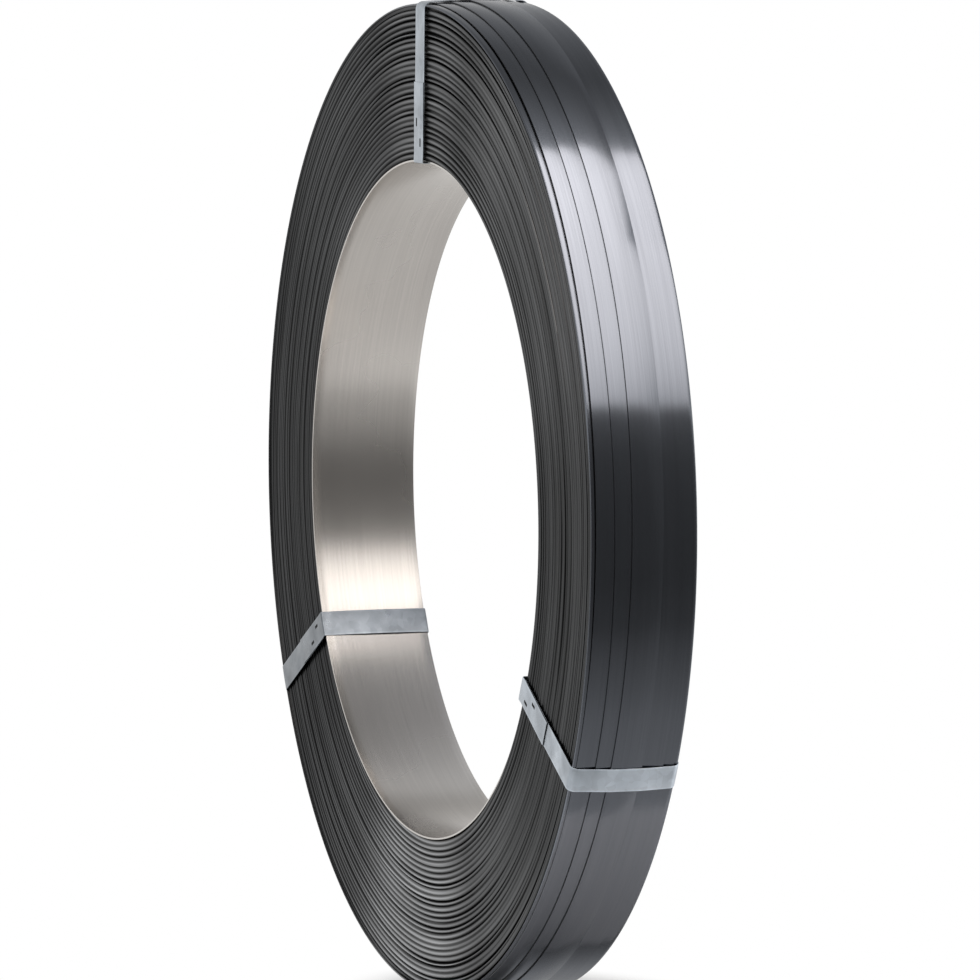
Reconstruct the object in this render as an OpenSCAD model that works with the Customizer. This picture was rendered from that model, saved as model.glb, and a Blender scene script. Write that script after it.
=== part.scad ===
// Coil of narrow steel strip, wound to and fro across its width on a bright steel liner,
// and held by three steel ties that pass through the bore.
// The coil stands on its rim. Its axis is Y, with the end face that shows the tie joints at -Y.

/* [Coil] */
// Outside diameter, over the last turn
coil_od = 600; // [520:1:700]
// Width across the two end faces
coil_w = 70; // [60:0.5:90]
// Diameter of the bore, inside the liner
bore_d = 406; // [360:1:440]

/* [Strip] */
// Width of the strip
strip_w = 19; // [13:0.5:22]
// Thickness of the strip
strip_t = 0.8; // [0.5:0.05:1.2]
// Turns that make one ridge of an end face
turns_per_ridge = 4; // [3:1:6]
// Depth of the groove between two ridges
groove_depth = 1.6; // [0.6:0.1:2.4]
// How far a ridge may lie behind the end face
ridge_wander = 0.7; // [0.1:0.05:1.2]
// How far the outermost turns draw in at the shoulder
shoulder_drop = 2; // [1:0.1:4]

/* [Liner] */
// Thickness of the liner
liner_t = 1.2; // [0.6:0.1:2]
// How far the liner's edges lie behind the end faces
liner_setback = 0.6; // [0.4:0.1:2]

/* [Ties] */
// Width of a tie
tie_w = 16; // [10:0.5:20]
// Thickness of a tie
tie_t = 0.6; // [0.3:0.05:0.7]
// Radial length of the lapped joint, from the bore outwards
lap_l = 48; // [30:1:60]
// Length of a punched key in the joint, along the tie
key_l = 5; // [3:0.5:7]
// Width of a punched key
key_w = 1.8; // [1:0.1:3]
// Bend of a tie round the edge of the bore, on its inside
bore_bend = 0.9; // [0.3:0.1:1]
// Bend of a tie round the shoulder of the coil, on its inside
shoulder_bend = 4; // [2:0.5:5]
// Angle of the tie at the top of the coil
top_angle = 90; // [80:1:100]
// Angle of the tie on the left
left_angle = 207; // [195:1:220]
// Angle of the tie on the right
right_angle = 332; // [320:1:345]

/* [Hidden] */
$fn = 180;

// Clearance between pieces that seat on each other
seat = 0.1;
// Overrun of every cut
overrun = 1;

coil_r = coil_od / 2;
bore_r = bore_d / 2;
half_w = coil_w / 2;

// Layers of strip on the rim, over the wound body
rim_layers = 3;
body_r = coil_r - rim_layers * strip_t;
wound_r = bore_r + liner_t + seat;
ridges = floor((body_r - wound_r) / (strip_t * turns_per_ridge));
turns = ridges * turns_per_ridge;
turn_pitch = (body_r - wound_r) / turns;
shoulder_turns = 2 * turns_per_ridge;

// Where the last turns lie across the rim, from front to back, as shares of the strip's travel
// from the middle to an end face: the third lies on top, and the others under it, each beside
// the next
travel = half_w - strip_w / 2;
last_turns_shares = [0.88, 0.61, 0.06, -0.65, -0.88];
function front_of(i) = last_turns_shares[i] * travel + strip_w / 2;
function back_of(i) = last_turns_shares[i] * travel - strip_w / 2;

// The edges of the last turns across the rim, with the layers on their front and back sides
rim_steps = [
    [front_of(0), 0, 1], [front_of(1), 1, 2], [front_of(2), 2, 3],
    [back_of(2), 3, 2], [back_of(3), 2, 1], [back_of(4), 1, 0]
];
rim_edge = [for (step = rim_steps, side = [1, 2]) [body_r + step[side] * strip_t, step[0]]];

// Steps of an arc in a bent tie
bend_steps = 6;

// How far turn k reaches towards an end face: it dips in the groove of each ridge, each ridge
// wanders a little, and the outermost turns draw in
wander_angle = 137.5;
function groove(k) = groove_depth * pow(cos(180 * (k % turns_per_ridge) / turns_per_ridge), 4);
function wander(k, side) = ridge_wander * (1 + sin(side * wander_angle * floor(k / turns_per_ridge))) / 2;
function shoulder(k) = shoulder_drop * pow(max(0, 1 - (turns - 1 - k) / shoulder_turns), 2);
function reach(k, side) = half_w - groove(k) - wander(k, side) - shoulder(k);

// The stepped edge of the winding on one side, from the liner outwards
function end_edge(side) = [
    for (k = [0 : turns - 1], end = [0, 1])
        [wound_r + (k + end) * turn_pitch, side * reach(k, side)]
];

function reversed(points) = [for (i = [len(points) - 1 : -1 : 0]) points[i]];

// Turns a shape made round Z so that its axis is Y and its upper end is at -Y
module on_axis() {
    rotate([90, 0, 0]) children();
}

module strip_winding() {
    color([0.22, 0.23, 0.24])
    on_axis()
    rotate_extrude()
    polygon(concat(end_edge(1), rim_edge, reversed(end_edge(-1))));
}

module bore_liner() {
    liner_w = coil_w - 2 * liner_setback;
    color([0.78, 0.77, 0.75])
    on_axis()
    difference() {
        cylinder(h = liner_w, r = bore_r + liner_t, center = true);
        cylinder(h = liner_w + 2 * overrun, r = bore_r, center = true);
    }
}

// Unit vector to the right of the way from a to b: outwards on a loop drawn anticlockwise
function outward(a, b) = [b[1] - a[1], a[0] - b[0]] / norm(b - a);

// The corner of a loop moved outwards by d
function moved_corner(before, corner, after, d) =
    let (n = outward(before, corner), m = outward(corner, after))
    corner + d * (n + m) / (1 + n * m);

function grown(loop, d) = [
    for (i = [0 : len(loop) - 1])
        moved_corner(loop[(i + len(loop) - 1) % len(loop)], loop[i], loop[(i + 1) % len(loop)], d)
];

// The points of an arc of the given radius that rounds a corner
function bend(before, corner, after, radius) =
    let (
        n = outward(before, corner),
        m = outward(corner, after),
        centre = corner - radius * (n + m) / (1 + n * m),
        from = atan2(n[1], n[0]),
        turn = acos(min(1, n * m))
    )
    radius == 0 ? [corner] : [
        for (i = [0 : bend_steps])
            centre + radius * [cos(from + turn * i / bend_steps), sin(from + turn * i / bend_steps)]
    ];

function bent(loop, radii) = [
    for (i = [0 : len(loop) - 1])
        each bend(loop[(i + len(loop) - 1) % len(loop)], loop[i], loop[(i + 1) % len(loop)], radii[i])
];

// The inside of a tie, in the plane of the axis: it lies flat on the end faces and in the bore,
// and runs over the last turn and down to both shoulders
tie_bore = sqrt(pow(bore_r, 2) - pow(tie_w / 2, 2)) - seat;
tie_rim = coil_r + seat;
tie_end = half_w + seat;
front_fall = strip_t * (tie_end - front_of(2)) / (front_of(1) - front_of(2));
back_fall = strip_t * (tie_end + back_of(2)) / (back_of(2) - back_of(3));
tie_inside = [
    [tie_bore, -tie_end],
    [tie_rim - back_fall, -tie_end],
    [tie_rim, back_of(2)],
    [tie_rim, front_of(2)],
    [tie_rim - front_fall, tie_end],
    [tie_bore, tie_end]
];
tie_inside_bends = [bore_bend, shoulder_bend, shoulder_bend, shoulder_bend, shoulder_bend, bore_bend];

// The outside of a tie: one thickness out, and two where its end laps over its start
lap_end = bore_r + lap_l;
tie_plain = grown(tie_inside, tie_t);
tie_outside = concat(
    [for (i = [0 : 4]) tie_plain[i]],
    [
        [lap_end, tie_plain[5][1]],
        [lap_end, tie_plain[5][1] + tie_t],
        [tie_plain[5][0], tie_plain[5][1] + tie_t]
    ]
);
tie_outside_bends = [
    bore_bend + tie_t,
    shoulder_bend + tie_t, shoulder_bend + tie_t, shoulder_bend + tie_t, shoulder_bend + tie_t,
    0, 0,
    bore_bend + 2 * tie_t
];

// Punched keys that lock the lap: their places along it and across the tie
key_places_shares = [[0.25, -0.2], [0.5, 0.2]];

module tie_band(angle) {
    color([0.72, 0.75, 0.78])
    on_axis()
    rotate([0, 0, angle])
    difference() {
        rotate([90, 0, 0])
        linear_extrude(height = tie_w, center = true)
        difference() {
            polygon(bent(tie_outside, tie_outside_bends));
            polygon(bent(tie_inside, tie_inside_bends));
        }
        for (place = key_places_shares)
            translate([bore_r + place[0] * lap_l, place[1] * tie_w, tie_end + tie_t])
                cube([key_l, key_w, 2 * tie_t + 2 * overrun], center = true);
    }
}

strip_winding();
bore_liner();
tie_band(top_angle);  // tie_band_top
tie_band(left_angle);  // tie_band_left
tie_band(right_angle);  // tie_band_right
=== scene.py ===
"""The looks of a coil of narrow steel strip with its liner and ties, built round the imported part.

The axis of the liner is Y, with the face that shows the tie joints at -Y. Angles round the coil
run from +X towards +Z. Lengths are in metres.
"""

import math

import bpy
import numpy as np
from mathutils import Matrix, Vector


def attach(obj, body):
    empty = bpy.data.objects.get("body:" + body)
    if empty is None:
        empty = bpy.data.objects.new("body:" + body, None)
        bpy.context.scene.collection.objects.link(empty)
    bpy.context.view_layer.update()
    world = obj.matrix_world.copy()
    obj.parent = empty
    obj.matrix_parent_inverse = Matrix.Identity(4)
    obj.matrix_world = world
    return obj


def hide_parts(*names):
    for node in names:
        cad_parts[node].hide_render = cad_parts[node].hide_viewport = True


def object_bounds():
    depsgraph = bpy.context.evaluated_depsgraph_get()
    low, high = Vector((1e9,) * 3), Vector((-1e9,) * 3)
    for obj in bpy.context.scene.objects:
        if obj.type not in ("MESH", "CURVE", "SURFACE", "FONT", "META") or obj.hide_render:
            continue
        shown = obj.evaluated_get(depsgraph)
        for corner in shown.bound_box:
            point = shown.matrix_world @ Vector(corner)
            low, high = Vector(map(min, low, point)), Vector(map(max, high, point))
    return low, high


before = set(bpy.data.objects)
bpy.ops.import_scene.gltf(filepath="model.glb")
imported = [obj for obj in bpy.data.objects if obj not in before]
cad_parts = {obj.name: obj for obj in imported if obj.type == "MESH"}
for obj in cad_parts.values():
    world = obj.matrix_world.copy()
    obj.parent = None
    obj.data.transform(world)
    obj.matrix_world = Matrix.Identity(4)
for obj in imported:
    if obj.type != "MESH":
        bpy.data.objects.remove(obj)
cad_low, cad_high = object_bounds()

MM = 0.001
SEED = 11
rng = np.random.default_rng(SEED)

# Sizes of the strip and the ties that the boxes of the solids don't show
STRIP_W = 19 * MM
STRIP_T = 0.8 * MM
RIM_LAYERS = 3
TIE_W = 16 * MM
TIE_T = 0.58 * MM
LAP_L = 48 * MM
SEAT = 0.1 * MM

# The winding sits a little askew and forward on the liner, so both are narrower than their solids
WINDING_TURN = math.radians(-0.28)
LINER_TURN = math.radians(0.45)
WINDING_SHIFT = 1.7 * MM
SHOULDER_INSET = 2.6 * MM
INNER_INSET = 1.8 * MM
LINER_INSET = 1.1 * MM
LINER_ROOM = 0.4 * MM
RIM_ROOM = 0.05 * MM
# How far the ridges nearest the liner sink towards the bottom of the coil
INNER_SINK = 2.2 * MM
INNER_SINK_POWER = 1.5


def node_points(name):
    """The vertices of a CAD node."""
    return np.array([vertex.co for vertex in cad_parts[name].data.vertices])


winding_points = node_points("strip_winding")
winding_radii = np.hypot(winding_points[:, 0], winding_points[:, 2])
liner_points = node_points("bore_liner")
liner_radii = np.hypot(liner_points[:, 0], liner_points[:, 2])

COIL_R = winding_radii.max() - RIM_ROOM
WOUND_R = winding_radii.min() + LINER_ROOM
BODY_R = COIL_R - RIM_LAYERS * STRIP_T
SOLID_HALF = np.abs(winding_points[:, 1]).max()
HALF_W = SOLID_HALF - SHOULDER_INSET
INNER_REACH = SOLID_HALF - INNER_INSET
LINER_R = liner_radii.max()
BORE_R = liner_radii.min()
LINER_HALF = np.abs(liner_points[:, 1]).max() - LINER_INSET
FLOOR_Z = cad_low.z

# Orders of the seeded waves round the coil, and the power by which they get smaller with their order
WAVE_ORDERS = 7
WAVE_FALL_POWER = 0.6

# Ridges of the end faces: how far they lie behind the shoulder, and how their bounds, crests and
# grooves vary
RIDGES = 27
RIDGE_PITCH = (BODY_R - WOUND_R) / (RIDGES + 1)
FACE_RECESS = 0.6 * MM
BOUND_WAVER = 0.45 * MM
CREST_WAVER = 0.35 * MM
CREST_STEP = 0.4 * MM
GROOVE_DEPTH = 0.95 * MM
GROOVE_WAVE_SHARE = 0.6
# A groove of this depth or more gets the darkest painted shade of a groove
DARK_GROOVE = 1.2 * MM
# How round a ridge is: the power of its fall from crest to groove
RIDGE_POWER = 1.7
# Some grooves are deeper, and more so in places
STRONG_SHARE = 0.22
STRONG_DEPTH = 1.2 * MM
STRONG_WAVE_SHARE = 2
STRONG_MOST_SHARE = 1.4
# Sectors of the faces are a middle, a half width and a soft end in degrees: here the grooves are
# shallower, apart from those nearest the liner
CALM_SECTOR = (5, 50, 45)
CALM_SHARE = 0.7
CALM_FROM_SHARE = 0.12
CALM_RISE_SHARE = 0.15
# Ridges near the shoulder, counted from it, that stand apart on the right
OUTER_GROOVES = [-2, -5]
OUTER_GROOVE_DEPTH = 1.5 * MM
OUTER_GROOVE_SECTOR = (8, 92, 30)
# Places of the stations across a ridge
FRONT_STATIONS_SHARES = [0, 0.12, 0.27, 0.42, 0.58, 0.73, 0.88]
BACK_STATIONS_SHARES = [0, 0.12, 0.4, 0.65, 0.88]

# The gap under the outermost turns, which is deep in one sector; low crest shares paint shade into it, less
# so where it is shallow
GAP_DEPTH = 4.5 * MM
SHALLOW_GAP = 1.1 * MM
GAP_SECTOR = (-4, 74, 26)
SHALLOW_CREST_SHARE = 0.7
# The outermost turns: how far they draw in at the gap, in the steps to their front and at the rim
GAP_LIP = 0.8 * MM
FRONT_STEP = 0.15 * MM
SHOULDER_EASE = 0.25 * MM
SHOULDER_STEP = 0.9 * MM
SHOULDER_DROP = 1.9 * MM


def eased(shares):
    """Smooth steps from 0 to 1 of shares that run from below 0 to above 1."""
    shares = np.clip(shares, 0, 1)
    return shares * shares * (3 - 2 * shares)


def slow_waves(count, angles, amplitude, orders=WAVE_ORDERS):
    """Seeded waves round the coil, one row for each of count ridges."""
    order = np.arange(1, orders + 1)
    sizes = rng.normal(0, 1, (count, orders)) / order ** WAVE_FALL_POWER
    sizes *= amplitude / np.abs(sizes).sum(axis=1, keepdims=True)
    phases = rng.uniform(0, 2 * math.pi, (count, orders))
    turns = order[None, :, None] * angles[None, None, :] + phases[:, :, None]
    return (sizes[:, :, None] * np.cos(turns)).sum(axis=1)


def sector(angles, centre_deg, half_deg, soft_deg):
    """1 within a sector of the coil and 0 outside it, with soft ends."""
    away = np.abs((np.degrees(angles) - centre_deg + 180) % 360 - 180)
    return 1 - eased((away - half_deg) / soft_deg)


def turned(radii, angles, widths, turn):
    """Points at radii, angles and places along the axis, turned about Z by an angle."""
    x, y = radii * np.cos(angles), widths
    return np.stack([
        x * math.cos(turn) - y * math.sin(turn),
        x * math.sin(turn) + y * math.cos(turn),
        radii * np.sin(angles),
    ], axis=-1)


def on_winding(radii, angles, widths):
    """Points at radii, angles and places across the winding, which sits askew and forward on the liner."""
    return turned(radii, angles, widths - WINDING_SHIFT, WINDING_TURN)


def inner_sunk(angles):
    """How far the ridges nearest the liner lie behind their furthest reach."""
    return INNER_SINK * ((1 - np.sin(angles)) / 2) ** INNER_SINK_POWER


def grid_mesh(name, points, wrap_rows, wrap_columns, sharp_deg):
    """A mesh object over a grid of points, closed along its rows or columns as asked."""
    rows, columns = points.shape[:2]
    row = np.arange(rows if wrap_rows else rows - 1)
    column = np.arange(columns if wrap_columns else columns - 1)
    r0, c0 = np.meshgrid(row, column, indexing="ij")
    r1, c1 = (r0 + 1) % rows, (c0 + 1) % columns
    corners = [(r0, c0), (r0, c1), (r1, c1), (r1, c0)]
    quads = np.stack([r * columns + c for r, c in corners], axis=-1)
    mesh = bpy.data.meshes.new(name)
    mesh.from_pydata(points.reshape(-1, 3).tolist(), [], quads.reshape(-1, 4).tolist())
    mesh.shade_smooth()
    mesh.set_sharp_from_angle(angle=math.radians(sharp_deg))
    mesh.update()
    piece = bpy.data.objects.new(name, mesh)
    bpy.context.scene.collection.objects.link(piece)
    return piece


def paint_columns(piece, rows, column_materials):
    """Gives each column of a grid mesh's faces its material index."""
    piece.data.polygons.foreach_set("material_index", np.tile(column_materials, rows).astype(np.int32))


def add_shares(piece, name, shares):
    """Stores one number per vertex for the materials to read."""
    attribute = piece.data.attributes.new(name, "FLOAT", "POINT")
    attribute.data.foreach_set("value", shares.ravel().astype(np.float32))


def dress(piece, slot, nodes, *materials):
    """Gives a piece its materials and its place in the part."""
    for material in materials:
        piece.data.materials.append(material)
    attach(piece, "root")
    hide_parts(*nodes)


def face_grid(angles, stations_shares):
    """Radii, depths behind the shoulder and crest shares of the ridges of one end face."""
    bounds = WOUND_R + RIDGE_PITCH * np.arange(RIDGES + 1)[:, None]
    bounds = bounds + slow_waves(RIDGES + 1, angles, BOUND_WAVER)
    bounds[0] = WOUND_R
    outward = np.linspace(0, 1, RIDGES)[:, None]
    off_liner = eased((outward - CALM_FROM_SHARE) / CALM_RISE_SHARE)
    calm = 1 - CALM_SHARE * sector(angles, *CALM_SECTOR) * off_liner
    groove = GROOVE_DEPTH * (1 + slow_waves(RIDGES, angles, GROOVE_WAVE_SHARE)) * calm
    strong = rng.uniform(0, 1, RIDGES) < STRONG_SHARE
    strength = np.clip(1 + slow_waves(RIDGES, angles, STRONG_WAVE_SHARE), 0, STRONG_MOST_SHARE)
    groove += np.where(strong, STRONG_DEPTH, 0)[:, None] * strength * calm
    groove[OUTER_GROOVES] += OUTER_GROOVE_DEPTH * sector(angles, *OUTER_GROOVE_SECTOR)
    crest = CREST_WAVER * (1 + slow_waves(RIDGES, angles, 1))
    crest += rng.uniform(0, CREST_STEP, RIDGES)[:, None]
    base = FACE_RECESS * outward + (HALF_W - INNER_REACH + inner_sunk(angles)) * (1 - outward)
    radii, depths, crests = [], [], []
    for ridge in range(RIDGES):
        span = bounds[ridge + 1] - bounds[ridge]
        for share in stations_shares:
            fall = abs(2 * share - 1) ** RIDGE_POWER
            radii.append(bounds[ridge] + share * span)
            depths.append(base[ridge] + crest[ridge] + groove[ridge] * fall)
            # The crest share is lower in deeper grooves, which paints shade into them
            crests.append(1 - fall * np.clip(groove[ridge] / DARK_GROOVE, 0, 1))
    return np.array(radii), np.array(depths), np.array(crests)


def shoulder_grid(angles):
    """Radii, depths and crest shares of the gap, deep on the right, and the proud turns at the shoulder: low
    crest shares paint shade into the gap.
    """
    count = len(angles)
    deep = sector(angles, *GAP_SECTOR)
    gap = SHALLOW_GAP + (GAP_DEPTH - SHALLOW_GAP) * deep
    inner = BODY_R - RIDGE_PITCH
    # Each station: its share of a ridge's pitch, its depth and its crest share
    stations = [
        (0.0, GAP_LIP, 1), (0.04, gap, 0), (0.5, gap, 0), (0.54, GAP_LIP, 0.1), (0.6, FRONT_STEP, 0.8),
        (0.7, 0, 1), (0.82, SHOULDER_EASE, 1), (0.94, SHOULDER_STEP, 1), (1.0, SHOULDER_DROP, 1),
    ]
    radii = [np.full(count, inner + share * RIDGE_PITCH) for share, depth, crest in stations]
    depths = [depth + np.zeros(count) for share, depth, crest in stations]
    crests = [crest + (1 - crest) * (1 - deep) * SHALLOW_CREST_SHARE for share, depth, crest in stations]
    return np.array(radii), np.array(depths), np.array(crests)


# How bright the end faces are, and the sectors where painted highlights brighten them: extra brightness and
# sector
FACE_BRIGHTNESS = 0.62
HIGHLIGHT_SECTORS = [
    (0.34, (96, 30, 35)), (0.9, (90, 5, 14)), (0.35, (40, 15, 20)),
    (0.7, (268, 22, 35)), (2.1, (266, 8, 18)),
]
# Places of two earlier turns at the back of the rim: front edge, back edge and layers below the last turn
EARLIER_TURNS = [(3.1 * MM, 22.1 * MM, 1), (22.1 * MM, 29.4 * MM, 2)]
EARLIER_DRIFT = 0.8 * MM
EARLIER_DRIFT_ORDERS = 3
STEP_SLOPE = 0.05 * MM
# The trench under the front edge of the first of the last turns: places before that edge, and depths
TRENCH = [(1.5 * MM, 0), (1.3 * MM, 1.3 * MM), (-1 * MM, 1.3 * MM), (-1.2 * MM, 0)]
TRENCH_LEAN_SHARE = 0.25
WOUND_STEPS = 240
WOUND_SHARP_DEG = 55
# Stations of each shoulder that show the flat side of the strip
FLAT_STATIONS = 4


def rim_grid(angles):
    """Radii and places across the rim of what lies below the last turns."""
    count = len(angles)
    degrees = np.degrees(np.where(angles > math.pi, angles - 2 * math.pi, angles))
    first_edge = -along(LAST_TURNS_FRONT, degrees, 1) * MM
    radii, places = [], []
    for before_edge, drop in TRENCH:
        limit = -HALF_W + SHOULDER_DROP + SEAT - before_edge * TRENCH_LEAN_SHARE
        radii.append(np.full(count, BODY_R - drop))
        places.append(np.maximum(first_edge - before_edge, limit))
    radii.append(np.full(count, BODY_R))
    places.append(np.full(count, EARLIER_TURNS[0][0]))
    drift = slow_waves(1, angles, EARLIER_DRIFT, EARLIER_DRIFT_ORDERS)[0]
    for front, back, layers in EARLIER_TURNS:
        front_drift = 0 if layers == 1 else drift
        back_drift = drift if layers == 1 else 0
        for place in (front + STEP_SLOPE + front_drift, back - STEP_SLOPE + back_drift):
            radii.append(np.full(count, COIL_R - layers * STRIP_T - SEAT))
            places.append(place + np.zeros(count))
    radii.append(np.full(count, BODY_R))
    places.append(np.full(count, EARLIER_TURNS[-1][1] + STEP_SLOPE))
    return np.array(radii), np.array(places)


def build_wound_turns(edge_steel, rim_steel):
    """The winding without its last turns: ridged faces, shoulders and the rim below the last turns."""
    angles = np.linspace(0, 2 * math.pi, WOUND_STEPS, endpoint=False)
    front_r, front_d, front_c = face_grid(angles, FRONT_STATIONS_SHARES)
    back_r, back_d, back_c = face_grid(angles, BACK_STATIONS_SHARES)
    side_r, side_d, side_c = shoulder_grid(angles)
    rim_r, rim_y = rim_grid(angles)
    rim_c = np.ones(rim_r.shape)

    radii = np.concatenate([front_r, side_r, rim_r, side_r[::-1], back_r[::-1]])
    front = np.concatenate([front_d, side_d]) - HALF_W
    back = HALF_W - np.concatenate([side_d[::-1], back_d[::-1]])
    widths = np.concatenate([front, rim_y, back])
    crests = np.concatenate([front_c, side_c, rim_c, side_c[::-1], back_c[::-1]])
    turns = (radii - WOUND_R) / STRIP_T
    # Painted highlights: some sectors of the end faces are made brighter
    painted_light_and_brightness = FACE_BRIGHTNESS + sum(share * sector(angles, *place) for share, place in HIGHLIGHT_SECTORS)

    points = on_winding(radii.T, angles[:, None], widths.T)
    piece = grid_mesh("wound_turns", points, True, True, WOUND_SHARP_DEG)
    add_shares(piece, "crest", crests.T)
    add_shares(piece, "turn", turns.T)
    add_shares(piece, "painted_light_and_brightness", np.repeat(painted_light_and_brightness, len(radii)))
    front_columns = len(front) - FLAT_STATIONS
    rim_columns = len(rim_r) + 2 * FLAT_STATIONS - 1
    columns = np.zeros(len(radii), int)
    columns[front_columns:front_columns + rim_columns] = 1
    paint_columns(piece, WOUND_STEPS, columns)
    dress(piece, "strip", ["strip_winding"], edge_steel, rim_steel)


# Front edge of the last turns along the strip, in degrees round the coil and millimetres before
# the middle: three turns that cross the rim, and end beyond the tie on the left
LAST_TURNS_FRONT = [
    (-150, 31.0), (-28, 30.5), (15, 29.2), (47, 27.8), (332, 18.8), (407, 18.0),
    (671, 10.8), (735, 7.6), (768, 6.1), (930, 1.0),
]
# Layers of strip under the last turns, along the strip
LAST_TURNS_LAYER = [(-150, -1), (-60, 0), (210, 0), (300, 1), (570, 1), (660, 2), (930, 2)]
# How far the front edge leans in, as an angle in degrees, along the strip
LAST_TURNS_LEAN = [(-150, 0.5), (-30, 0.9), (47, 0.9), (332, 0.4), (407, 0.4), (671, 0), (930, 0)]
# Steps along the strip, and how many to each side smooth these values
LAST_TURNS_STEPS = 900
LAST_TURNS_SOFT = 12
# The eased corners of the strip, the crest share that paints shade low on its slit sides and underside, and
# how bright its slit sides are
STRIP_CORNER = 0.12 * MM
STRIP_FOOT_SHADE_CREST = 0.8
STRIP_EDGE_BRIGHTNESS = 1.4
# The middle of an eased corner, as a share of it
CORNER_MIDDLE_SHARE = 0.3
# Edges of a strip or a tie sharper than this stay sharp
STRIP_SHARP_DEG = 30


def along(knots, angles_deg, soft):
    """Values between knots, smoothed over a run of samples."""
    knot_angles, knot_values = np.array(knots, float).T
    padded = np.concatenate([np.full(soft, angles_deg[0]), angles_deg, np.full(soft, angles_deg[-1])])
    values = np.interp(padded, knot_angles, knot_values)
    return np.convolve(values, np.ones(2 * soft + 1) / (2 * soft + 1), mode="valid")


def build_last_turns(rim_steel, edge_steel):
    """The last three turns as one ribbon of strip that crosses the rim over itself."""
    angles_deg = np.linspace(LAST_TURNS_FRONT[0][0], LAST_TURNS_FRONT[-1][0], LAST_TURNS_STEPS)
    front = -along(LAST_TURNS_FRONT, angles_deg, LAST_TURNS_SOFT) * MM
    under = BODY_R + along(LAST_TURNS_LAYER, angles_deg, LAST_TURNS_SOFT) * STRIP_T
    lean = np.radians(along(LAST_TURNS_LEAN, angles_deg, LAST_TURNS_SOFT))
    corner = STRIP_CORNER
    middle = CORNER_MIDDLE_SHARE * corner
    section = [
        (0, 0), (0, STRIP_T - corner), (middle, STRIP_T - middle), (corner, STRIP_T),
        (STRIP_W / 2, STRIP_T),
        (STRIP_W - corner, STRIP_T), (STRIP_W - middle, STRIP_T - middle), (STRIP_W, STRIP_T - corner),
        (STRIP_W, 0),
    ]
    across = np.array([place for place, height in section])
    height = np.array([height for place, height in section])
    radii = under[:, None] + height[None, :] - (STRIP_W - across[None, :]) * np.tan(lean)[:, None]
    widths = front[:, None] + across[None, :]
    points = on_winding(radii, np.radians(angles_deg)[:, None], widths)
    piece = grid_mesh("last_turns", points, False, True, STRIP_SHARP_DEG)
    count = LAST_TURNS_STEPS * len(section)
    # Painted shade low on the slit sides and on the underside
    add_shares(piece, "crest", np.tile(np.where(height > 0, 1, STRIP_FOOT_SHADE_CREST), LAST_TURNS_STEPS))
    add_shares(piece, "turn", np.zeros(count))
    add_shares(piece, "painted_light_and_brightness", np.full(count, STRIP_EDGE_BRIGHTNESS))
    # The slit sides and the underside have the second material
    columns = np.array([1, 0, 0, 0, 0, 0, 0, 1, 1])
    paint_columns(piece, LAST_TURNS_STEPS - 1, columns)
    dress(piece, "strip", ["strip_winding"], rim_steel, edge_steel)


# The liner's eased edges and the slight unevenness of its bore
LINER_EASE = 0.25 * MM
LINER_SWAY = 0.05 * MM
LINER_SWAY_ORDERS = 9
LINER_STEPS = 320
LINER_STATIONS = 10
LINER_SHARP_DEG = 40


def build_liner(liner_steel):
    """The bright liner: a thin ring with eased edges, slightly uneven in its bore."""
    angles = np.linspace(0, 2 * math.pi, LINER_STEPS, endpoint=False)
    ease = LINER_EASE
    middle = CORNER_MIDDLE_SHARE * ease
    widths = np.concatenate([
        [-LINER_HALF, -LINER_HALF + middle, -LINER_HALF + ease],
        np.linspace(-LINER_HALF, LINER_HALF, LINER_STATIONS + 2)[1:-1],
        [LINER_HALF - ease, LINER_HALF - middle, LINER_HALF],
    ])
    set_back = np.array([ease, middle, 0] + [0] * LINER_STATIONS + [0, middle, ease])
    sway = slow_waves(len(widths), angles, LINER_SWAY, LINER_SWAY_ORDERS)
    inner = BORE_R + set_back[:, None] + np.abs(sway) * (set_back == 0)[:, None]
    outer = np.full((2, len(angles)), LINER_R - SEAT)
    radii = np.concatenate([inner, outer]).T
    places = np.concatenate([widths, [LINER_HALF, -LINER_HALF]])
    points = turned(radii, angles[:, None], np.tile(places, (len(angles), 1)), LINER_TURN)
    piece = grid_mesh("liner_ring", points, True, True, LINER_SHARP_DEG)
    dress(piece, "liner", ["bore_liner"], liner_steel)


# The path of a tie: its bends, how far it falls from the last turn to the shoulders, where it leaves
# the last turn in front and behind, where its covered start lies, and the seat of the lap
SHOULDER_BEND = 4 * MM
BORE_BEND = 0.5 * MM
BEND_CLEAR_SHARE = 0.7
FRONT_FALL = 1.9 * MM
BACK_FALL = 1.55 * MM
RIM_FRONT = 7.9 * MM
RIM_BACK = -11.1 * MM
TIE_START = 3.5 * MM
LAP_SEAT = 0.02 * MM
# The bends along it: two at each shoulder, then one at each edge of the bore
TIE_BENDS = [SHOULDER_BEND] * 4 + [BORE_BEND] * 2
BEND_STEPS = 6


def placed(r, h, angle):
    """A point of the winding's section as it lies in the plane of the axis at an angle."""
    lean = -WINDING_TURN * math.cos(angle)
    h += WINDING_SHIFT
    return np.array([r * math.cos(lean) - h * math.sin(lean), r * math.sin(lean) + h * math.cos(lean)])


def rounded_path(corners, bends):
    """A path with rounded corners: its points and the unit vectors to its outer side."""
    points, normals = [], []

    def outer_side(a, b):
        way = (b - a) / np.linalg.norm(b - a)
        return np.array([-way[1], way[0]])

    points.append(corners[0])
    normals.append(outer_side(corners[0], corners[1]))
    for before, corner, after, bend in zip(corners, corners[1:], corners[2:], bends):
        n, m = outer_side(before, corner), outer_side(corner, after)
        centre = corner - bend * (n + m) / (1 + n @ m)
        for share in np.linspace(0, 1, BEND_STEPS + 1):
            side = n * (1 - share) + m * share
            side /= np.linalg.norm(side)
            points.append(centre + bend * side)
            normals.append(side)
    points.append(corners[-1])
    normals.append(outer_side(corners[-2], corners[-1]))
    return np.array(points), np.array(normals)


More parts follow.
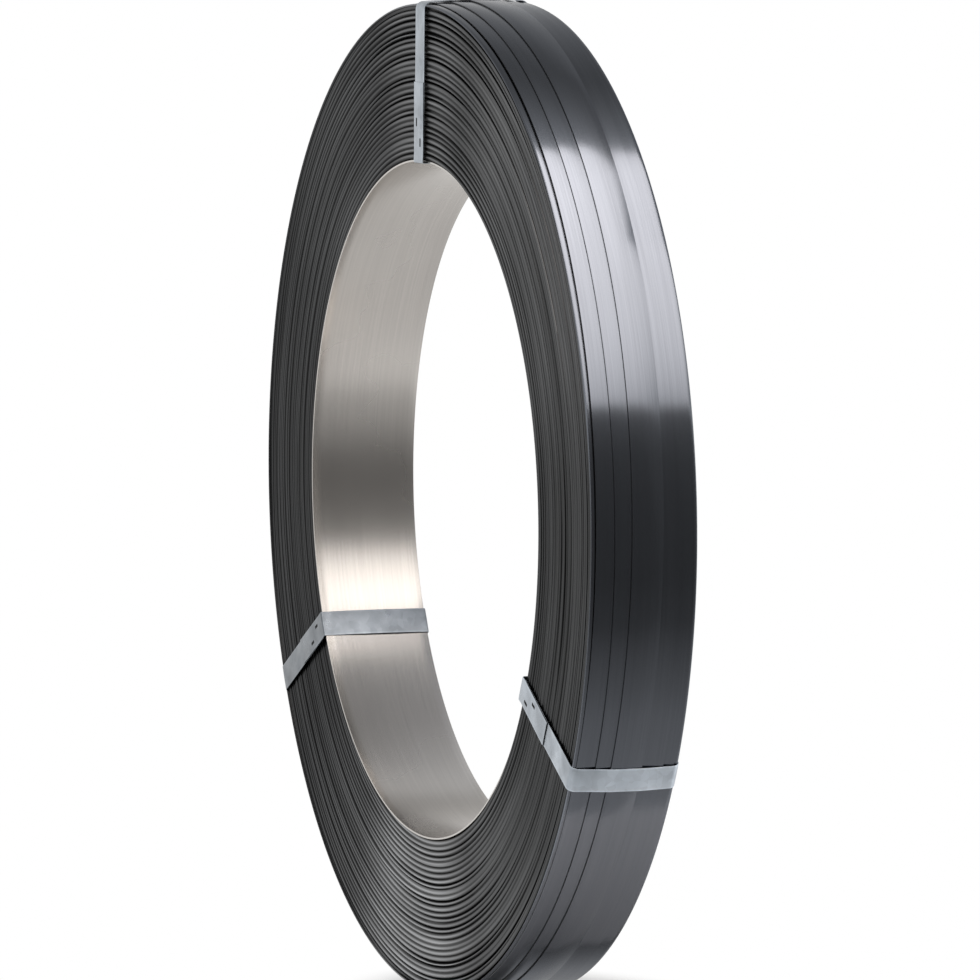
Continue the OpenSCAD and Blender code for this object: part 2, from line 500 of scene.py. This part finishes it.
def finer_path(points, normals, step):
    """The path with points no further apart than step, and the length run at each."""
    fine_points, fine_normals = [points[0]], [normals[0]]
    for a, b, n, m in zip(points, points[1:], normals, normals[1:]):
        parts = max(1, math.ceil(np.linalg.norm(b - a) / step))
        for part in range(1, parts + 1):
            share = part / parts
            fine_points.append(a + (b - a) * share)
            fine_normals.append(n + (m - n) * share)
    fine_points = np.array(fine_points)
    runs = np.concatenate([[0], np.cumsum(np.linalg.norm(np.diff(fine_points, axis=0), axis=1))])
    return fine_points, np.array(fine_normals), runs


def tie_corners(angle):
    """Corners of a tie's inner side: from its start at the bore over the rim to its lapped end."""
    rim = COIL_R + SEAT
    room = SEAT + TIE_W / 2 * math.tan(LINER_TURN - WINDING_TURN)
    end = HALF_W + room
    bore = math.sqrt(BORE_R ** 2 - (TIE_W / 2) ** 2) - SEAT
    liner_end = LINER_HALF + BORE_BEND * BEND_CLEAR_SHARE
    liner_lean = BORE_R * math.cos(angle) * math.sin(LINER_TURN)
    inner_reach = INNER_REACH - inner_sunk(angle)
    front_end = max(liner_end - liner_lean, placed(WOUND_R, inner_reach, angle)[1] + room)
    back_end = min(-liner_end - liner_lean, placed(WOUND_R, -inner_reach, angle)[1] - room)
    front_shoulder = placed(rim - FRONT_FALL, end, angle)
    bore_front = np.array([bore, front_end])
    way = (front_shoulder - bore_front) / np.linalg.norm(front_shoulder - bore_front)
    over = np.array([-way[1], way[0]]) * (TIE_T + LAP_SEAT)
    lap_front = bore_front + over - way * (over[0] / way[0])
    return [
        bore_front + way * TIE_START,
        front_shoulder,
        placed(rim, RIM_FRONT, angle),
        placed(rim, RIM_BACK, angle),
        placed(rim - BACK_FALL, -end, angle),
        np.array([bore, back_end]),
        lap_front,
        lap_front + way * LAP_L,
    ]


# The ties: name, CAD node, angle in degrees, how far the lapped end lies to the side and is turned,
# and the painted light and shade of the zinc: how bright it is in the bore, on the faces and on the rim
TIES = [
    ("tie_top", "tie_band_top", 90, -0.7 * MM, 1.2, (1.0, 1.0, 1.0)),
    ("tie_left", "tie_band_left", 207, 0.3 * MM, -0.5, (0.64, 0.42, 0.7)),
    ("tie_right", "tie_band_right", 332, 0.5 * MM, -0.8, (1.0, 1.05, 1.6)),
]
# The section of a tie: nearly its full width, eased corners, and a low crown with painted highlights on its
# borders
TIE_WIDTH_SHARE = 0.985
TIE_CORNER = 0.1 * MM
TIE_CROWN = 0.12 * MM
TIE_BORDER = 1.4 * MM
BORDER_FALL_SHARE = 1 / 3
BORDER_HIGHLIGHT = 1.25
# How far a tie bows off the liner in the bore, and the length in which its lap moves to the side
BORE_BOW = 0.8 * MM
LAP_EASE = 6 * MM
TIE_STEP = 2.5 * MM
# Punched keys of a joint, drawn as thin dark boxes of painted shade: their places along the lap and across
# the tie
KEY_PLACES_SHARES = [(0.25, -0.2), (0.5, 0.2)]
KEY_L = 5 * MM
KEY_W = 1.8 * MM
KEY_RISE = 0.03 * MM
KEY_SHADE = 0.6


def at_angle(radii, sideways, heights, angle):
    """Points of a tie's plane, at radii, places to its side and heights before the middle of the coil."""
    radii, sideways, heights = np.broadcast_arrays(radii, sideways, heights)
    return np.stack([
        radii * math.cos(angle) - sideways * math.sin(angle),
        -heights,
        radii * math.sin(angle) + sideways * math.cos(angle),
    ], axis=-1)


def box_mesh(name, boxes):
    """A mesh object of boxes, each given as a 2 x 2 x 2 block of corners."""
    corners = np.concatenate([box.reshape(8, 3) for box in boxes])
    sides = [(0, 1, 3, 2), (4, 6, 7, 5), (0, 4, 5, 1), (2, 3, 7, 6), (0, 2, 6, 4), (1, 5, 7, 3)]
    faces = [tuple(8 * box + corner for corner in side) for box in range(len(boxes)) for side in sides]
    mesh = bpy.data.meshes.new(name)
    mesh.from_pydata(corners.tolist(), [], faces)
    mesh.update()
    piece = bpy.data.objects.new(name, mesh)
    bpy.context.scene.collection.objects.link(piece)
    return piece


def tie_path(angle):
    """Points of a tie's inner side, unit vectors off it, the run at each, and which lie in the bore."""
    points, normals = rounded_path(tie_corners(angle), TIE_BENDS)
    points, normals, runs = finer_path(points, normals, TIE_STEP)
    in_bore = points[:, 0] < BORE_R
    bow = np.clip(1 - (points[:, 1] / LINER_HALF) ** 2, 0, 1)
    points[:, 0] -= np.where(in_bore, BORE_BOW * bow, 0)
    return points, normals, runs, in_bore


def tie_section():
    """The section of a tie: places across it and heights over its inner side."""
    edge = TIE_W / 2
    border = edge - TIE_BORDER
    corner = TIE_CORNER
    side_top = TIE_T - TIE_CROWN
    border_top = TIE_T - TIE_CROWN * BORDER_FALL_SHARE
    section = [
        (-edge, corner), (-edge, side_top - corner), (-edge + corner, side_top), (-border, border_top),
        (0, TIE_T),
        (border, border_top), (edge - corner, side_top), (edge, side_top - corner), (edge, corner),
        (edge - corner, 0), (0, 0), (-edge + corner, 0),
    ]
    return np.array(section).T


def build_keys(name, node, angle, lap, key_steel):
    """The punched keys of a joint: thin boxes of painted shade that stand for dark slots on a lap, given as
    its runs, points, sides and normal.
    """
    runs, points, sides, normal = lap
    ends_shares = np.array([-1, 1]) / 2
    rise = np.array([0, TIE_T + KEY_RISE])
    boxes = []
    for lap_share, across_share in KEY_PLACES_SHARES:
        key_runs = lap_share * LAP_L + KEY_L * ends_shares
        middle = np.stack([np.interp(key_runs, runs, points[:, i]) for i in (0, 1)], axis=-1)
        spots = middle[:, None, :] + normal[None, None, :] * rise[None, :, None]
        key_sides = np.interp(key_runs, runs, sides) + across_share * TIE_W
        key_sides = key_sides[:, None] + KEY_W * ends_shares[None, :]
        boxes.append(at_angle(spots[:, None, :, 0], key_sides[:, :, None], spots[:, None, :, 1], angle))
    keys = box_mesh(name, boxes)
    # The crest and brightness shares paint the slots dark, as painted shade
    for share in ("crest", "painted_light_and_brightness"):
        add_shares(keys, share, np.full(len(keys.data.vertices), KEY_SHADE))
    dress(keys, "tie", [node], key_steel)


def build_tie(name, node, angle_deg, lap_side, lap_turn_deg, tones, tie_zinc, key_steel):
    """A flat strap round the section of the coil, its end lapped over its start on the front face."""
    angle = math.radians(angle_deg)
    points, normals, runs, in_bore = tie_path(angle)
    across, height = tie_section()
    lap_run = np.clip(runs - (runs[-1] - LAP_L), 0, None)
    side = lap_side * eased(lap_run / LAP_EASE) + lap_run * math.tan(math.radians(lap_turn_deg))
    places = points[:, None, :] + normals[:, None, :] * height[None, :, None]
    sideways = across[None, :] * TIE_WIDTH_SHARE + side[:, None]
    radii, heights = places[..., 0], places[..., 1]
    piece = grid_mesh(name, at_angle(radii, sideways, heights, angle), False, True, STRIP_SHARP_DEG)

    # Painted light and shade: each stretch of the tie is made brighter or darker
    in_bore_tone, face_tone, rim_tone = tones
    on_rim = points[:, 0] > BODY_R
    tone = np.where(in_bore, in_bore_tone, np.where(on_rim, rim_tone, face_tone))
    # Painted highlights along the borders of the strap
    border = np.where(np.abs(across) > TIE_W / 2 - TIE_BORDER, BORDER_HIGHLIGHT, 1)
    add_shares(piece, "tone", tone[:, None] * border[None, :])
    dress(piece, "tie", [node], tie_zinc)

    on_lap = lap_run > 0
    lap = (lap_run[on_lap], points[on_lap], side[on_lap], normals[-1])
    build_keys(name + "_keys", node, angle, lap, key_steel)


def set_stops(ramp, stops):
    """Gives a colour ramp its stops, each a position and a grey or a colour."""
    while len(ramp.elements) < len(stops):
        ramp.elements.new(1.0)
    for element, (position, colour) in zip(ramp.elements, stops):
        element.position = position
        element.color = (colour, colour, colour, 1) if isinstance(colour, (int, float)) else (*colour, 1)


STREAK_ROUGHNESS = 0.6


class Shader:
    """A material's nodes, with short ways to add and join them."""

    def __init__(self, name):
        self.material = bpy.data.materials.new(name)
        self.material.use_nodes = True
        self.tree = self.material.node_tree
        self.surface = self.tree.nodes["Principled BSDF"]

    def add(self, kind, inputs=None, **settings):
        """A node with its settings made and its inputs set or joined."""
        node = self.tree.nodes.new(kind)
        for key, value in settings.items():
            setattr(node, key, value)
        for key, value in (inputs or {}).items():
            self.feed(node.inputs[key], value)
        return node

    def feed(self, socket, value):
        """Joins an output to an input, or sets the input to a plain value."""
        if isinstance(value, bpy.types.NodeSocket):
            self.tree.links.new(value, socket)
        else:
            socket.default_value = value

    def math(self, operation, first, second=0.0):
        """A sum or another operation on one or two values."""
        return self.add("ShaderNodeMath", {0: first, 1: second}, operation=operation).outputs[0]

    def ramp(self, share, stops):
        """A colour that changes with a share: stops are (position, grey or colour)."""
        node = self.add("ShaderNodeValToRGB", {0: share})
        set_stops(node.color_ramp, stops)
        return node.outputs[0]

    def mix(self, share, first, second, blend="MIX"):
        """The first colour, with a share of the second mixed in."""
        inputs = {0: share, 6: first, 7: second}
        return self.add("ShaderNodeMix", inputs, data_type="RGBA", blend_type=blend).outputs[2]

    def times(self, first, second):
        """The product of two colours."""
        return self.mix(1.0, first, second, "MULTIPLY")

    def attribute(self, name, output="Fac"):
        """A value that the mesh holds at its points."""
        return self.add("ShaderNodeAttribute", attribute_name=name).outputs[output]

    def round_coordinates(self, along_scale, across_scale):
        """A 4-D place for textures drawn out round the coil: the direction, the width and the radius."""
        where = self.add("ShaderNodeTexCoord").outputs["Object"]
        parts = self.add("ShaderNodeSeparateXYZ", {0: where}).outputs
        squares = [self.math("MULTIPLY", part, part) for part in (parts[0], parts[2])]
        radius = self.math("SQRT", self.math("ADD", *squares))
        scaled = self.math("DIVIDE", radius, along_scale)
        vector = self.add("ShaderNodeCombineXYZ", {
            0: self.math("DIVIDE", parts[0], scaled),
            1: self.math("MULTIPLY", parts[1], across_scale),
            2: self.math("DIVIDE", parts[2], scaled),
        }).outputs[0]
        return vector, self.math("MULTIPLY", radius, across_scale)

    def streaks(self, along_scale, across_scale, detail=3.0):
        """Noise drawn out round the coil."""
        vector, fourth = self.round_coordinates(along_scale, across_scale)
        inputs = {"Vector": vector, "W": fourth, "Scale": 1.0}
        inputs.update({"Detail": detail, "Roughness": STREAK_ROUGHNESS})
        return self.add("ShaderNodeTexNoise", inputs, noise_dimensions="4D").outputs[0]

    def noise(self, scale, detail):
        """Noise that is the same in every direction."""
        where = self.add("ShaderNodeTexCoord").outputs["Object"]
        inputs = {"Vector": where, "Scale": scale, "Detail": detail}
        return self.add("ShaderNodeTexNoise", inputs).outputs[0]

    def bump(self, height, distance):
        """A normal for fine relief of the given height."""
        inputs = {"Height": height, "Distance": distance, "Strength": 1.0}
        return self.add("ShaderNodeBump", inputs).outputs[0]

    def round_tangent(self):
        """The tangent of brushing round the coil's axis."""
        return self.add("ShaderNodeTangent", direction_type="RADIAL", axis="Y").outputs[0]

    def finish(self, **inputs):
        """Sets the surface's inputs, named with underscores for spaces."""
        for key, value in inputs.items():
            self.feed(self.surface.inputs[key.replace("_", " ")], value)
        return self.material


def grey(value, blue=0.0):
    """A grey, a little bluer or warmer."""
    return (value * (1 - blue), value, value * (1 + blue), 1)


# Colours of the metals, each a darker and a paler one, and the height of their fine relief
RIM_COLOURS = [(0.166, 0.176, 0.199, 1), (0.203, 0.216, 0.242, 1)]
EDGE_COLOURS = [grey(0.06), grey(0.26, 0.02)]
LINER_COLOURS = [(0.48, 0.456, 0.432, 1), (0.632, 0.601, 0.565, 1)]
ZINC_COLOURS = [(0.325, 0.362, 0.4, 1), (0.56, 0.61, 0.665, 1)]
ROLLED_RELIEF = 0.01 * MM
SLIT_RELIEF = 0.05 * MM
ZINC_RELIEF = 0.12 * MM
# How bright the metals of the strip are at a flat angle
RIM_TINT = grey(0.6)
EDGE_TINT = grey(0.5)
# How far the gloss of the rolled sides is drawn out, and its turn from the tangent
RIM_DRAWN_SHARE = 0.88
LINER_DRAWN_SHARE = 0.5
DRAWN_TURN_SHARE = 0.25
# The worn crests and the spangle of the zinc
WORN_POWER = 2.0
SPANGLE_SCALE = 260.0


def make_rim_steel():
    """Dark blued strip seen flat on: glossy along the turns, with rolled streaks and faint scuffs."""
    shader = Shader("rim_steel")
    fine = shader.streaks(along_scale=3.0, across_scale=1400.0)
    broad = shader.streaks(along_scale=1.2, across_scale=160.0, detail=2.0)
    scuffs = shader.noise(scale=26.0, detail=4.0)
    colour = shader.mix(broad, *RIM_COLOURS)
    colour = shader.times(colour, shader.ramp(fine, [(0.3, 0.86), (0.7, 1.0)]))
    roughness = shader.ramp(scuffs, [(0.35, 0.19), (0.75, 0.24)])
    return shader.finish(
        Base_Color=colour, Metallic=1.0, Roughness=roughness,
        Anisotropic=RIM_DRAWN_SHARE, Anisotropic_Rotation=DRAWN_TURN_SHARE, Tangent=shader.round_tangent(),
        Specular_Tint=RIM_TINT, Normal=shader.bump(fine, ROLLED_RELIEF),
    )


def make_edge_steel():
    """The slit edges of the turns: dark, with worn crests, painted shade in grooves and gaps, painted
    highlights in sectors of the faces, and fine lines between turns.
    """
    shader = Shader("edge_steel")
    crest = shader.attribute("crest")
    turn = shader.attribute("turn")
    whole_turn = shader.math("FLOOR", turn)
    lines = shader.add("ShaderNodeTexWhiteNoise", {"W": whole_turn}, noise_dimensions="1D").outputs[0]
    patches = shader.streaks(along_scale=1.6, across_scale=120.0)
    fine = shader.streaks(along_scale=5.0, across_scale=1500.0)
    # Worn crests are paler; through the crest share, deep grooves and gaps keep the dark colour as painted
    # shade
    worn = shader.math("MULTIPLY", shader.math("POWER", crest, WORN_POWER), patches)
    colour = shader.mix(worn, *EDGE_COLOURS)
    colour = shader.times(colour, shader.ramp(lines, [(0.0, 0.72), (1.0, 1.0)]))
    colour = shader.times(colour, shader.ramp(fine, [(0.3, 0.75), (0.7, 1.0)]))
    # Painted shade: darker in grooves, gaps, low on slit sides and in key slots, and a little brighter on
    # crests
    colour = shader.times(colour, shader.ramp(crest, [(0.0, 0.4), (0.6, 0.5), (0.95, 1.08)]))
    # Painted highlights in sectors of the end faces, painted shade in the key slots, and the brightness of
    # each piece
    colour = shader.times(colour, shader.attribute("painted_light_and_brightness", "Color"))
    roughness = shader.ramp(patches, [(0.3, 0.3), (0.8, 0.42)])
    return shader.finish(
        Base_Color=colour, Metallic=1.0, Roughness=roughness,
        Specular_Tint=EDGE_TINT, Normal=shader.bump(fine, SLIT_RELIEF),
    )


def make_liner_steel():
    """Bright cold-rolled steel: satin, with fine lines round the bore and soft clouds."""
    shader = Shader("liner_steel")
    fine = shader.streaks(along_scale=2.0, across_scale=900.0)
    clouds = shader.noise(scale=9.0, detail=3.0)
    colour = shader.mix(clouds, *LINER_COLOURS)
    colour = shader.times(colour, shader.ramp(fine, [(0.3, 0.9), (0.7, 1.0)]))
    roughness = shader.ramp(clouds, [(0.3, 0.24), (0.7, 0.3)])
    return shader.finish(
        Base_Color=colour, Metallic=1.0, Roughness=roughness,
        Anisotropic=LINER_DRAWN_SHARE, Anisotropic_Rotation=DRAWN_TURN_SHARE, Tangent=shader.round_tangent(),
        Normal=shader.bump(fine, ROLLED_RELIEF),
    )


def make_tie_zinc():
    """Zinc-coated strap: pale and bluish, with spangle, stains and duller patches, and the painted light,
    shade and border highlights of each tie.
    """
    shader = Shader("tie_zinc")
    where = shader.add("ShaderNodeTexCoord").outputs["Object"]
    spangle = shader.add("ShaderNodeTexVoronoi", {"Vector": where, "Scale": SPANGLE_SCALE}).outputs["Color"]
    cells = shader.add("ShaderNodeSeparateXYZ", {0: spangle}).outputs[0]
    patches = shader.noise(scale=70.0, detail=4.0)
    stains = shader.noise(scale=32.0, detail=2.0)
    colour = shader.mix(patches, *ZINC_COLOURS)
    colour = shader.times(colour, shader.ramp(cells, [(0.0, 0.86), (1.0, 1.0)]))
    colour = shader.times(colour, shader.ramp(stains, [(0.35, 0.68), (0.65, 1.0)]))
    # Painted light and shade of each stretch of a tie, and painted highlights on its borders
    colour = shader.times(colour, shader.attribute("tone", "Color"))
    roughness = shader.ramp(patches, [(0.3, 0.4), (0.7, 0.26)])
    return shader.finish(
        Base_Color=colour, Metallic=1.0, Roughness=roughness, Normal=shader.bump(patches, ZINC_RELIEF),
    )


def build_parts():
    """Every piece of the coil with its material."""
    rim_steel = make_rim_steel()
    edge_steel = make_edge_steel()
    tie_zinc = make_tie_zinc()
    build_wound_turns(edge_steel, rim_steel)
    build_last_turns(rim_steel, edge_steel)
    build_liner(make_liner_steel())
    for tie in TIES:
        build_tie(*tie, tie_zinc, edge_steel)


# The light box: a panel of light above the rim, cards that only reflections show, and a white room
PANEL_BACK = Vector((0.205, 0.5, 0.50))
PANEL_FRONT = Vector((1.05, 0.5, 0.43))
PANEL_LENGTH = 2.0
PANEL_POWER = 12.0
PANEL_COLOUR = (1.0, 0.945, 0.91)
PANEL_SPREAD = math.radians(135)
CARD_RISE = 1 * MM
# Each card: name, the two ends of its slope as (x, z), its run along y, and its glow along the slope
CARDS = [
    ("front_card", (0.30, FLOOR_Z), (1.06, 0.43), (-1.6, 0.205), [
        (0.0, 0.54), (0.075, 0.45), (0.11, 0.41), (0.146, 0.31), (0.19, 0.215), (0.23, 0.122),
        (0.3, 0.093), (0.47, 0.105), (0.65, 0.136), (0.84, 0.205), (1.0, 0.26),
    ]),
    ("glow_card", (0.0, 0.50), (0.204, 0.50), (-1.0, 0.17), [
        (0.0, 0.24), (0.25, 0.26), (0.45, 0.33), (0.62, 0.435), (0.8, 0.6), (1.0, 0.9),
    ]),
    ("bore_front_card", (0.30, FLOOR_Z), (1.06, 0.43), (0.205, 1.6), [
        (0.0, 0.54), (0.075, 0.47), (0.11, 0.46), (0.146, 0.37), (0.19, 0.265), (0.23, 0.165),
        (0.3, 0.135), (0.47, 0.15), (0.65, 0.17), (0.84, 0.22), (1.0, 0.26),
    ]),
    ("bore_card", (-0.6, 0.46), (0.36, 0.46), (0.2, 1.2), [
        (0.12, (0.78, 0.8, 0.83)), (0.53, (0.42, 0.43, 0.46)),
        (0.85, (0.36, 0.38, 0.415)), (1.0, (0.475, 0.5, 0.545)),
    ]),
    ("foot_card", (0.04, FLOOR_Z + CARD_RISE), (0.135, FLOOR_Z + CARD_RISE), (-0.01, 0.08), [
        (0.0, 0.85), (0.6, 0.75), (0.85, 0.38), (1.0, 0.2),
    ]),
    ("bore_floor_card", (-0.8, FLOOR_Z + CARD_RISE), (0.22, FLOOR_Z + CARD_RISE), (0.11, 0.8), [
        (0.0, 0.85), (0.275, 0.82), (0.54, 0.74), (0.68, 0.73), (0.84, 0.84), (1.0, 1.0),
    ]),
]
FLOOR_HALF = 40.0
FLOOR_COLOUR = grey(0.55)
FLOOR_ROUGHNESS = 0.9
# The patch of floor that keeps the shadow: its middle, how much shorter it is along y, and its soft end
SHADOW_CENTRE = Vector((0.2, 0.02, FLOOR_Z))
SHADOW_SHAPE = Vector((1.0, 2.2, 1.0))
SHADOW_NEAR = 0.22
SHADOW_FAR = 0.33
# The room's light from its horizon to overhead
ROOM_STOPS = [(0.0, 1.0), (0.3, 0.9), (0.55, 0.6), (0.8, 0.27), (1.0, 0.25)]


def add_panel():
    """The panel of light over the front of the rim."""
    lamp = bpy.data.lights.new("panel", "AREA")
    lamp.shape = "RECTANGLE"
    span = PANEL_FRONT - PANEL_BACK
    lamp.size = span.length
    lamp.size_y = PANEL_LENGTH
    lamp.energy = PANEL_POWER
    lamp.color = PANEL_COLOUR
    lamp.spread = PANEL_SPREAD
    panel = bpy.data.objects.new("panel", lamp)
    panel.location = (PANEL_BACK + PANEL_FRONT) / 2
    panel.rotation_euler = (0, math.atan2(-span.z, span.x), 0)
    panel.visible_camera = False
    bpy.context.scene.collection.objects.link(panel)


def stage_plane(name, corners, material):
    """A flat stage piece."""
    mesh = bpy.data.meshes.new(name)
    mesh.from_pydata(corners, [], [tuple(range(len(corners)))])
    mesh.materials.append(material)
    piece = bpy.data.objects.new(name, mesh)
    bpy.context.scene.collection.objects.link(piece)
    return piece


def add_card(name, first, last, run, stops):
    """A card that only reflections show, with a glow that changes from its first end to its last."""
    shader = Shader(name)
    place = shader.add("ShaderNodeNewGeometry").outputs["Position"]
    across = shader.add("ShaderNodeSeparateXYZ", {0: place}).outputs[0]
    ends = {"Value": across, "From Min": first[0], "From Max": last[0]}
    share = shader.add("ShaderNodeMapRange", ends).outputs[0]
    glow = shader.add("ShaderNodeEmission", {"Color": shader.ramp(share, stops), "Strength": 1.0}).outputs[0]
    shader.feed(shader.tree.nodes["Material Output"].inputs["Surface"], glow)
    corners = [
        (first[0], run[0], first[1]), (first[0], run[1], first[1]),
        (last[0], run[1], last[1]), (last[0], run[0], last[1]),
    ]
    card = stage_plane(name, corners, shader.material)
    card.visible_camera = False
    card.visible_diffuse = False
    card.visible_shadow = False


def add_floor():
    """A pale floor that keeps the shadow near the coil and is white further off."""
    shader = Shader("floor")
    shader.finish(Base_Color=FLOOR_COLOUR, Roughness=FLOOR_ROUGHNESS)
    place = shader.add("ShaderNodeNewGeometry").outputs["Position"]
    away = shader.add("ShaderNodeVectorMath", {0: place, 1: SHADOW_CENTRE}, operation="SUBTRACT").outputs[0]
    shaped = shader.add("ShaderNodeVectorMath", {0: away, 1: SHADOW_SHAPE}, operation="MULTIPLY").outputs[0]
    distance = shader.add("ShaderNodeVectorMath", {0: shaped}, operation="LENGTH").outputs["Value"]
    ends = {"Value": distance, "From Min": SHADOW_NEAR, "From Max": SHADOW_FAR}
    far = shader.add("ShaderNodeMapRange", ends, interpolation_type="SMOOTHSTEP").outputs[0]
    white = shader.add("ShaderNodeEmission", {"Color": (1, 1, 1, 1), "Strength": 1.0}).outputs[0]
    mixed = shader.add("ShaderNodeMixShader", {0: far, 1: shader.surface.outputs[0], 2: white}).outputs[0]
    shader.feed(shader.tree.nodes["Material Output"].inputs["Surface"], mixed)
    signs = [(-1, -1), (1, -1), (1, 1), (-1, 1)]
    corners = [(x * FLOOR_HALF, y * FLOOR_HALF, FLOOR_Z) for x, y in signs]
    stage_plane("floor", corners, shader.material)


def add_world():
    """A white room that is dimmer overhead."""
    world = bpy.data.worlds.new("room")
    world.use_nodes = True
    bpy.context.scene.world = world
    tree = world.node_tree
    background = tree.nodes["Background"]
    where = tree.nodes.new("ShaderNodeTexCoord")
    parts = tree.nodes.new("ShaderNodeSeparateXYZ")
    tree.links.new(where.outputs["Generated"], parts.inputs[0])
    ramp = tree.nodes.new("ShaderNodeValToRGB")
    tree.links.new(parts.outputs[2], ramp.inputs[0])
    set_stops(ramp.color_ramp, ROOM_STOPS)
    tree.links.new(ramp.outputs[0], background.inputs["Color"])
    background.inputs["Strength"].default_value = 1.0


# The camera of the photograph
AZIMUTH = math.radians(70.29)
ELEVATION = math.radians(4.94)
DISTANCE = 5.40
LENS_MM = 329.7
AIM_RIGHT = 0.00905
AIM_UP = 0.0049


def add_camera():
    """The camera, as far off and as long as the photograph's."""
    back = Vector((
        math.sin(AZIMUTH) * math.cos(ELEVATION),
        -math.cos(AZIMUTH) * math.cos(ELEVATION),
        math.sin(ELEVATION),
    ))
    turn = back.to_track_quat("Z", "Y")
    right, up = turn @ Vector((1, 0, 0)), turn @ Vector((0, 1, 0))
    data = bpy.data.cameras.new("camera")
    data.lens = LENS_MM
    data.clip_end = 4 * FLOOR_HALF
    camera = bpy.data.objects.new("camera", data)
    camera.location = back * DISTANCE + right * AIM_RIGHT + up * AIM_UP
    camera.rotation_euler = turn.to_euler()
    bpy.context.scene.collection.objects.link(camera)
    bpy.context.scene.camera = camera


build_parts()
add_panel()
for card in CARDS:
    add_card(*card)
add_floor()
add_world()
add_camera()
bpy.context.scene.view_settings.view_transform = "Standard"
